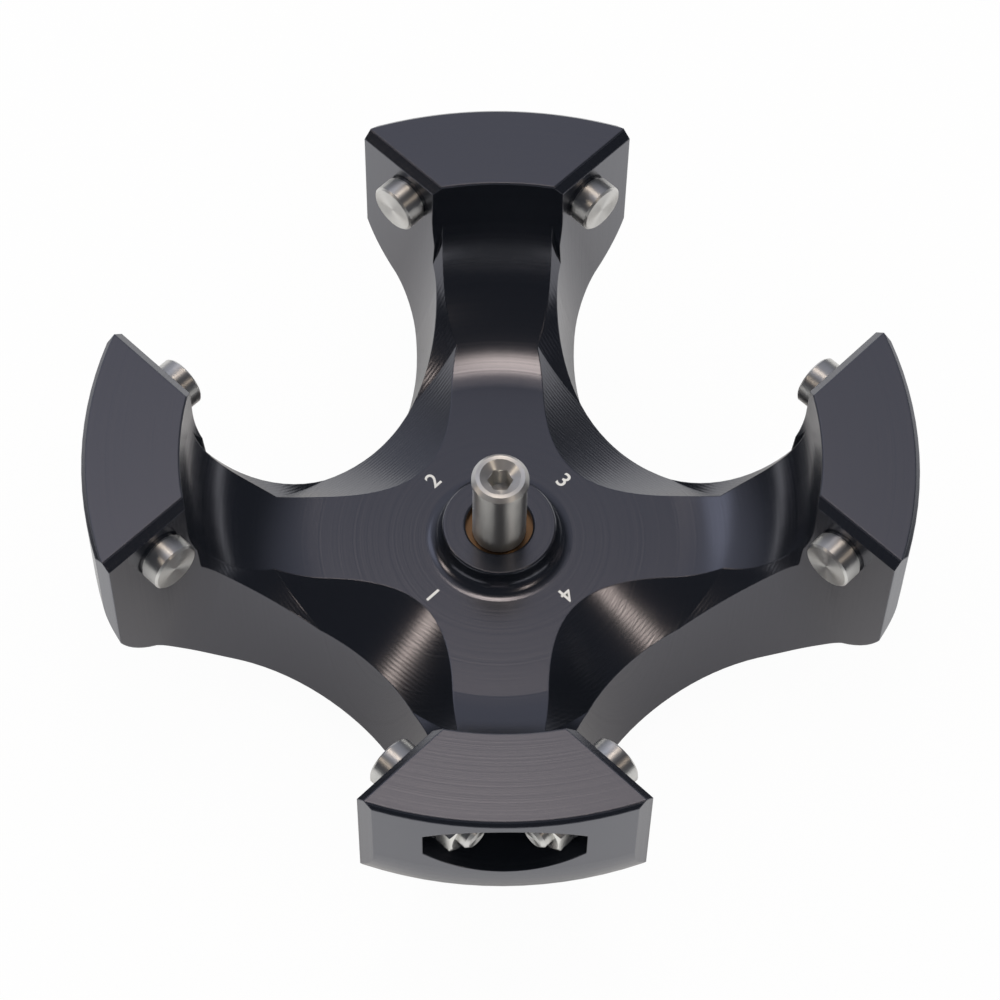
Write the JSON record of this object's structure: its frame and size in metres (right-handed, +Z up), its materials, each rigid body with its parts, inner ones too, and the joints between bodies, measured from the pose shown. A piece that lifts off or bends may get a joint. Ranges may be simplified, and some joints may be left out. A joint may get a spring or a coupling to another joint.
{
  "type": "swing out rotor",
  "caption": "Black anodised cross-shaped centrifuge rotor with hollow heads, steel trunnion pins facing across the bucket gaps, and a captive tie-down screw in a bronze bush.",
  "frame": {"origin": "centre of the hub's lower face, on the spin axis", "axes": "+Z up along the spin axis, +X and +Y along two neighbouring arms, bucket gaps on the diagonals"},
  "size_m": [0.1812, 0.1812, 0.078],
  "materials": {
    "black_anodised_aluminium": "black anodised, machined",
    "turned_stainless": "turned",
    "nut_stainless": "bright",
    "plain_steel": "satin",
    "spring_steel": "dark satin",
    "bronze": "turned bronze"
  },
  "bodies": {
    "rotor": {"rotor_body": "black_anodised_aluminium", "guide_bush": "bronze", "pin_north_east_a": "turned_stainless", "pin_north_east_b": "turned_stainless", "pin_north_west_a": "turned_stainless", "pin_north_west_b": "turned_stainless", "pin_south_west_a": "turned_stainless", "pin_south_west_b": "turned_stainless", "pin_south_east_a": "turned_stainless", "pin_south_east_b": "turned_stainless", "flat_washers_east": "plain_steel", "flat_washers_north": "plain_steel", "flat_washers_west": "plain_steel", "flat_washers_south": "plain_steel", "spring_washers_east": "spring_steel", "spring_washers_north": "spring_steel", "spring_washers_west": "spring_steel", "spring_washers_south": "spring_steel", "nuts_east": "nut_stainless", "nuts_north": "nut_stainless", "nuts_west": "nut_stainless", "nuts_south": "nut_stainless"},
    "screw_keeper": {"thrust_washer": "plain_steel", "retaining_ring": "spring_steel"},
    "screw": {"tie_down_screw": "turned_stainless"}
  },
  "joints": [
    {"name": "screw_lift", "type": "slide", "parent": "rotor", "child": "screw_keeper", "axis": [0, 0, 1], "range_m": [0, 0.004]},
    {"name": "screw_spin", "type": "hinge", "parent": "screw_keeper", "child": "screw", "pos_m": [0, 0, 0.04], "axis": [0, 0, 1], "continuous": true}
  ]
}
